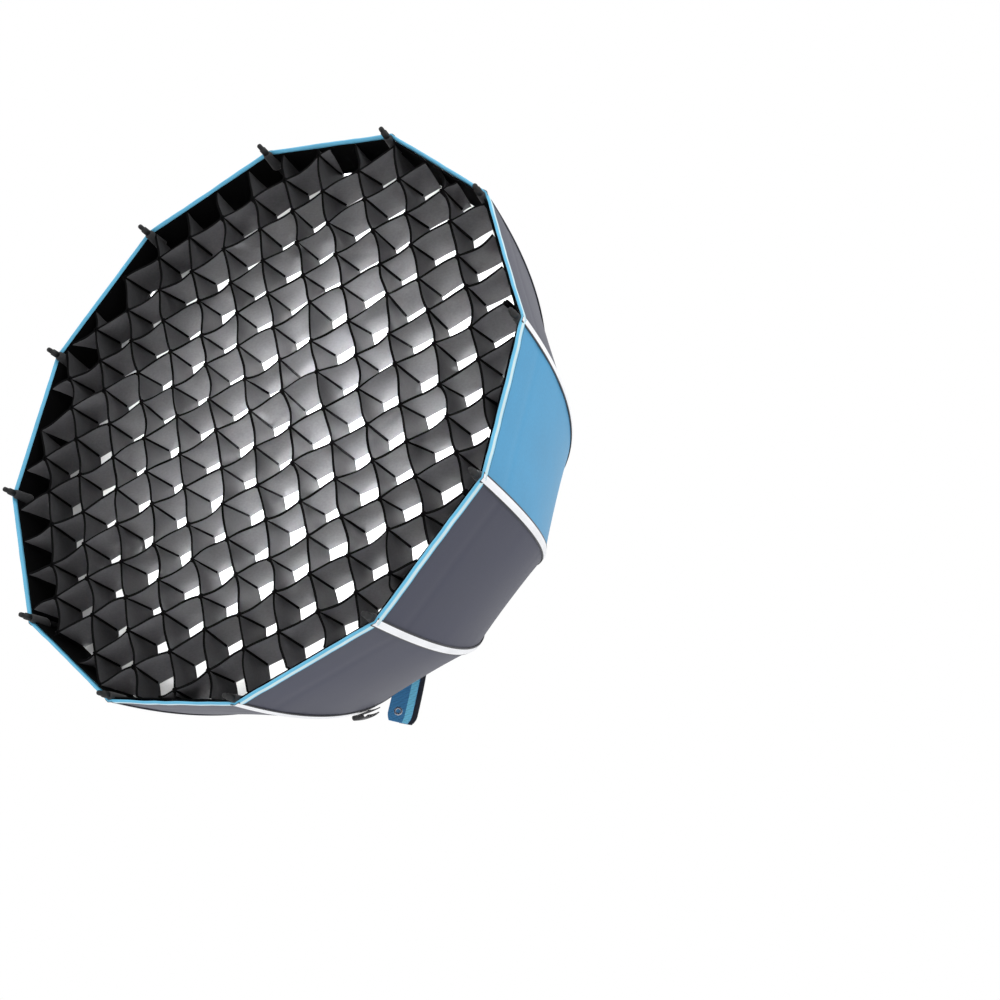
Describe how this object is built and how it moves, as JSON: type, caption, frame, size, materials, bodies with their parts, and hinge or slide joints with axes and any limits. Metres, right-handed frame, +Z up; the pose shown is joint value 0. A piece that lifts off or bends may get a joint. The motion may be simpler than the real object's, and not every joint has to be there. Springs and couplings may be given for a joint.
{
  "type": "octabox",
  "caption": "Folding softbox for a studio lamp: ribs hinged on a two-plate ring, dome of dark and blue fabric panels, white front diffuser and black fabric grid.",
  "frame": {"origin": "centre of the rear face of the lamp flange, on the optical axis", "axes": "-Y the way the light goes, +Z up, +X to the right as a viewer facing the mouth sees it"},
  "size_m": [0.5796, 0.3404, 0.5796],
  "materials": {
    "cast_alloy": "satin, light cast grain",
    "plated_steel": "zinc plated",
    "spring_steel": "bright drawn wire",
    "fibre_rod": "black coated fibreglass",
    "black_plastic": "fine moulded grain",
    "charcoal_fabric": "tight woven nylon, faint sheen",
    "blue_fabric": "tight woven nylon, faint sheen",
    "white_tape": "woven edge tape",
    "white_diffusion": "thin translucent cloth",
    "black_fabric": "matt woven polyester",
    "blue_webbing": "ribbed webbing",
    "navy_webbing": "ribbed webbing"
  },
  "bodies": {
    "mount": {"mount_flange": "cast_alloy", "rear_plate": "cast_alloy", "tail_channel_ring": "plated_steel", "latch_cover": "plated_steel"},
    "latch": {"latch_bolt": "black_plastic"},
    "strap": {"pull_strap": "blue_webbing", "strap_backing": "navy_webbing"},
    "hub": {"hub_ring": "cast_alloy", "hinge_wire": "spring_steel", "latch_keeper": "plated_steel", "rear_hem": "white_tape", "guide_post_1": "plated_steel", "guide_post_2": "plated_steel", "guide_post_3": "plated_steel", "guide_post_4": "plated_steel"},
    "rib_01": {"rib_lever_01": "plated_steel", "rib_rod_01": "fibre_rod", "panel_01": "charcoal_fabric"},
    "rib_02": {"rib_lever_02": "plated_steel", "rib_rod_02": "fibre_rod", "panel_02": "charcoal_fabric"},
    "rib_03": {"rib_lever_03": "plated_steel", "rib_rod_03": "fibre_rod", "panel_03": "charcoal_fabric"},
    "rib_04": {"rib_lever_04": "plated_steel", "rib_rod_04": "fibre_rod", "panel_04": "charcoal_fabric"},
    "rib_05": {"rib_lever_05": "plated_steel", "rib_rod_05": "fibre_rod", "panel_05": "charcoal_fabric"},
    "rib_06": {"rib_lever_06": "plated_steel", "rib_rod_06": "fibre_rod", "panel_06": "blue_fabric"},
    "rib_07": {"rib_lever_07": "plated_steel", "rib_rod_07": "fibre_rod", "panel_07": "charcoal_fabric"},
    "rib_08": {"rib_lever_08": "plated_steel", "rib_rod_08": "fibre_rod", "panel_08": "charcoal_fabric"},
    "rib_09": {"rib_lever_09": "plated_steel", "rib_rod_09": "fibre_rod", "panel_09": "charcoal_fabric"},
    "rib_10": {"rib_lever_10": "plated_steel", "rib_rod_10": "fibre_rod", "panel_10": "charcoal_fabric", "closure_strap": "black_fabric"},
    "rib_11": {"rib_lever_11": "plated_steel", "rib_rod_11": "fibre_rod", "panel_11": "charcoal_fabric"},
    "rib_12": {"rib_lever_12": "plated_steel", "rib_rod_12": "fibre_rod", "panel_12": "blue_fabric"},
    "diffuser": {"front_diffuser": "white_diffusion"},
    "grid": {"front_grid": "black_fabric"}
  },
  "joints": [
    {"name": "quick_open", "type": "slide", "parent": "mount", "child": "hub", "axis": [0, -1, 0], "range_m": [0, 0.00676]},
    {"name": "rib_fold_01", "type": "hinge", "parent": "hub", "child": "rib_01", "pos_m": [0.07631, -0.0231, 0.02045], "axis": [0.2588, 0, -0.9659], "range_deg": [0, 40], "deforming": ["panel_01", "front_diffuser", "front_grid"]},
    {"name": "rib_fold_02", "type": "hinge", "parent": "hub", "child": "rib_02", "pos_m": [0.05586, -0.0231, 0.05586], "axis": [0.7071, 0, -0.7071], "range_deg": [0, 40.2], "deforming": ["panel_02"]},
    {"name": "rib_fold_03", "type": "hinge", "parent": "hub", "child": "rib_03", "pos_m": [0.02045, -0.0231, 0.07631], "axis": [0.9659, 0, -0.2588], "range_deg": [0, 40.2], "deforming": ["panel_03"]},
    {"name": "rib_fold_04", "type": "hinge", "parent": "hub", "child": "rib_04", "pos_m": [-0.02045, -0.0231, 0.07631], "axis": [0.9659, 0, 0.2588], "range_deg": [0, 40.2], "deforming": ["panel_04"]},
    {"name": "rib_fold_05", "type": "hinge", "parent": "hub", "child": "rib_05", "pos_m": [-0.05586, -0.0231, 0.05586], "axis": [0.7071, 0, 0.7071], "range_deg": [0, 40.2], "deforming": ["panel_05"]},
    {"name": "rib_fold_06", "type": "hinge", "parent": "hub", "child": "rib_06", "pos_m": [-0.07631, -0.0231, 0.02045], "axis": [0.2588, 0, 0.9659], "range_deg": [0, 40.2], "deforming": ["panel_06"]},
    {"name": "rib_fold_07", "type": "hinge", "parent": "hub", "child": "rib_07", "pos_m": [-0.07631, -0.0231, -0.02045], "axis": [-0.2588, 0, 0.9659], "range_deg": [0, 40.2], "deforming": ["panel_07"]},
    {"name": "rib_fold_08", "type": "hinge", "parent": "hub", "child": "rib_08", "pos_m": [-0.05586, -0.0231, -0.05586], "axis": [-0.7071, 0, 0.7071], "range_deg": [0, 40.2], "deforming": ["panel_08"]},
    {"name": "rib_fold_09", "type": "hinge", "parent": "hub", "child": "rib_09", "pos_m": [-0.02045, -0.0231, -0.07631], "axis": [-0.9659, 0, 0.2588], "range_deg": [0, 40.2], "deforming": ["panel_09"]},
    {"name": "rib_fold_10", "type": "hinge", "parent": "hub", "child": "rib_10", "pos_m": [0.02045, -0.0231, -0.07631], "axis": [-0.9659, 0, -0.2588], "range_deg": [0, 40.2], "deforming": ["panel_10"]},
    {"name": "rib_fold_11", "type": "hinge", "parent": "hub", "child": "rib_11", "pos_m": [0.05586, -0.0231, -0.05586], "axis": [-0.7071, 0, -0.7071], "range_deg": [0, 40.2], "deforming": ["panel_11"]},
    {"name": "rib_fold_12", "type": "hinge", "parent": "hub", "child": "rib_12", "pos_m": [0.07631, -0.0231, -0.02045], "axis": [-0.2588, 0, -0.9659], "range_deg": [0, 40.2], "deforming": ["panel_12"]},
    {"name": "diffuser_off", "type": "slide", "parent": "hub", "child": "diffuser", "axis": [0, -1, 0], "range_m": [0, 0.06]},
    {"name": "grid_off", "type": "slide", "parent": "diffuser", "child": "grid", "axis": [0, -1, 0], "range_m": [0, 0.06]},
    {"name": "latch_pull", "type": "slide", "parent": "mount", "child": "latch", "axis": [0, 0, -1], "range_m": [0, 0.006], "stiffness_N_per_m": 300, "springref_m": -0.005},
    {"name": "strap_swing", "type": "hinge", "parent": "latch", "child": "strap", "pos_m": [0, -0.0108, -0.0907], "axis": [1, 0, 0], "range_deg": [-25, 80]}
  ],
  "couplings": [
    {"joint": "quick_open", "follows": "rib_fold_01", "m_per_rad": 0.0096676},
    {"joint": "rib_fold_02", "follows": "rib_fold_01", "ratio": 1},
    {"joint": "rib_fold_03", "follows": "rib_fold_01", "ratio": 1},
    {"joint": "rib_fold_04", "follows": "rib_fold_01", "ratio": 1},
    {"joint": "rib_fold_05", "follows": "rib_fold_01", "ratio": 1},
    {"joint": "rib_fold_06", "follows": "rib_fold_01", "ratio": 1},
    {"joint": "rib_fold_07", "follows": "rib_fold_01", "ratio": 1},
    {"joint": "rib_fold_08", "follows": "rib_fold_01", "ratio": 1},
    {"joint": "rib_fold_09", "follows": "rib_fold_01", "ratio": 1},
    {"joint": "rib_fold_10", "follows": "rib_fold_01", "ratio": 1},
    {"joint": "rib_fold_11", "follows": "rib_fold_01", "ratio": 1},
    {"joint": "rib_fold_12", "follows": "rib_fold_01", "ratio": 1}
  ]
}
